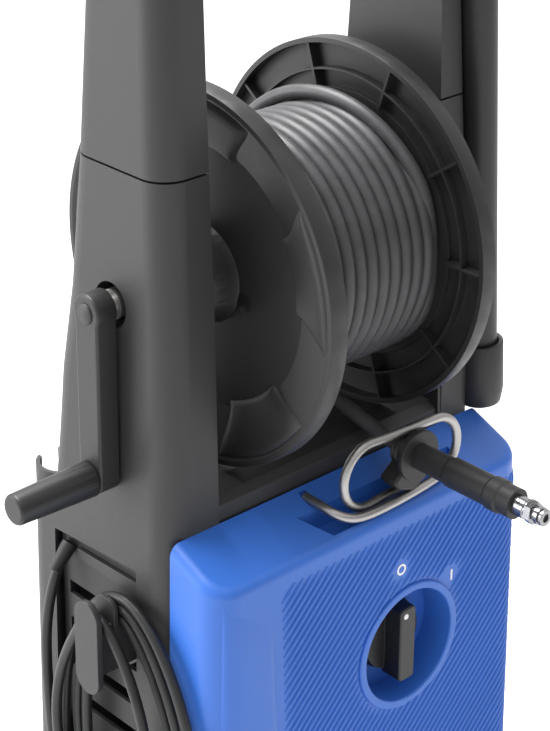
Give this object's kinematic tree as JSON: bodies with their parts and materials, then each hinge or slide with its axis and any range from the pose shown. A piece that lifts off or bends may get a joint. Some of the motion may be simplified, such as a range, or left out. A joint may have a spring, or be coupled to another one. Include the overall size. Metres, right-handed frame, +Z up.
{
  "type": "pressure washer",
  "caption": "Upright wheeled pressure washer with a hose reel between two towers, a crank, a telescopic handle, a rotary switch and a stored lance and mains lead.",
  "frame": {"origin": "on the floor under the middle of the machine's box, without its hose and mains lead", "axes": "+Z up, +X to the right seen from the front, -Y towards the front"},
  "size_m": [0.428, 0.399, 0.888],
  "materials": {
    "casing_plastic": "fine-grained moulded plastic, dark warm grey",
    "dark_plastic": "fine-grained moulded plastic, darker grey",
    "cover_plastic": "satin blue moulded plastic",
    "soft_rubber": "matt black rubber",
    "hose_rubber": "satin dark grey rubber hose",
    "lead_rubber": "satin black cable sheath",
    "black_plastic": "black moulded plastic",
    "steel": "satin steel",
    "chrome": "polished plated metal",
    "aluminium": "anodised aluminium",
    "brass": "machined brass"
  },
  "bodies": {
    "machine": {"base_frame": "casing_plastic", "front_feet": "soft_rubber", "left_side_shell": "casing_plastic", "right_side_shell": "casing_plastic", "leg_covers": "casing_plastic", "tower_inner_panels": "casing_plastic", "vent_panels": "casing_plastic", "rear_panel": "casing_plastic", "reel_tray": "casing_plastic", "front_cover": "cover_plastic", "guide_loop": "steel", "left_bush": "dark_plastic", "right_swivel": "brass", "motor_housing": "aluminium", "motor_stator": "steel", "pump_gearcase": "aluminium", "pump_head": "brass", "pump_pistons": "steel", "unloader_valve": "brass", "outlet_pipe": "steel", "water_inlet": "brass", "inlet_hose": "hose_rubber", "switch_module": "black_plastic", "cable_hook": "casing_plastic", "cable_gland": "soft_rubber", "mains_lead": "lead_rubber", "lead_coil": "lead_rubber", "mains_plug": "lead_rubber", "hose_run": "hose_rubber", "hose_stopper": "soft_rubber", "hose_grip": "soft_rubber", "hose_connector": "chrome", "lance_holder": "casing_plastic", "nozzle_holder": "casing_plastic", "casing_screws": "steel", "wheel_axle": "steel", "hub_caps": "dark_plastic"},
    "reel": {"left_flange": "dark_plastic", "right_flange": "dark_plastic", "reel_drum": "dark_plastic", "reel_axle": "steel", "hose_winding": "hose_rubber", "crank_arm": "dark_plastic", "crank_pin": "steel"},
    "crank_knob": {"crank_grip": "black_plastic"},
    "handle": {"handle_tubes": "aluminium", "handle_bar": "dark_plastic", "handle_grip": "soft_rubber"},
    "release": {"release_button": "dark_plastic"},
    "left_wheel": {"left_wheel_rim": "dark_plastic", "left_tyre": "soft_rubber"},
    "right_wheel": {"right_wheel_rim": "dark_plastic", "right_tyre": "soft_rubber"},
    "rotor": {"motor_rotor": "steel", "cooling_fan": "black_plastic", "swash_plate": "steel"},
    "switch": {"switch_knob": "black_plastic"},
    "lance": {"lance_tube": "dark_plastic", "gun_body": "dark_plastic"},
    "trigger": {"gun_trigger": "black_plastic"}
  },
  "joints": [
    {"name": "reel_spin", "type": "hinge", "parent": "machine", "child": "reel", "pos_m": [0.01001, -0.0285, 0.56], "axis": [1, 0, 0], "continuous": true},
    {"name": "crank_grip_spin", "type": "hinge", "parent": "reel", "child": "crank_knob", "pos_m": [-0.17999, -0.0285, 0.444], "axis": [1, 0, 0], "continuous": true},
    {"name": "handle_slide", "type": "slide", "parent": "machine", "child": "handle", "axis": [0, 0, 1], "range_m": [0, 0.14]},
    {"name": "release_press", "type": "slide", "parent": "handle", "child": "release", "axis": [0, 0, -1], "range_m": [0, 0.004], "stiffness_N_per_m": 400},
    {"name": "left_wheel_spin", "type": "hinge", "parent": "machine", "child": "left_wheel", "pos_m": [-0.11999, 0.0835, 0.075], "axis": [1, 0, 0], "continuous": true},
    {"name": "right_wheel_spin", "type": "hinge", "parent": "machine", "child": "right_wheel", "pos_m": [0.14001, 0.0835, 0.075], "axis": [1, 0, 0], "continuous": true},
    {"name": "motor_spin", "type": "hinge", "parent": "machine", "child": "rotor", "pos_m": [-0.00999, -0.0065, 0.23], "axis": [0, 0, 1], "continuous": true},
    {"name": "switch_turn", "type": "hinge", "parent": "machine", "child": "switch", "pos_m": [0.04001, -0.1085, 0.284], "axis": [0, 1, 0], "range_deg": [0, 50]},
    {"name": "lance_lift", "type": "slide", "parent": "machine", "child": "lance", "axis": [-0.0456, 0.0158, 0.9988], "range_m": [0, 0.25]},
    {"name": "trigger_pull", "type": "hinge", "parent": "lance", "child": "trigger", "pos_m": [0.16116, -0.05527, 0.84115], "axis": [0.7061, -0.7068, 0.0434], "range_deg": [0, 12], "stiffness_Nm_per_rad": 2}
  ]
}
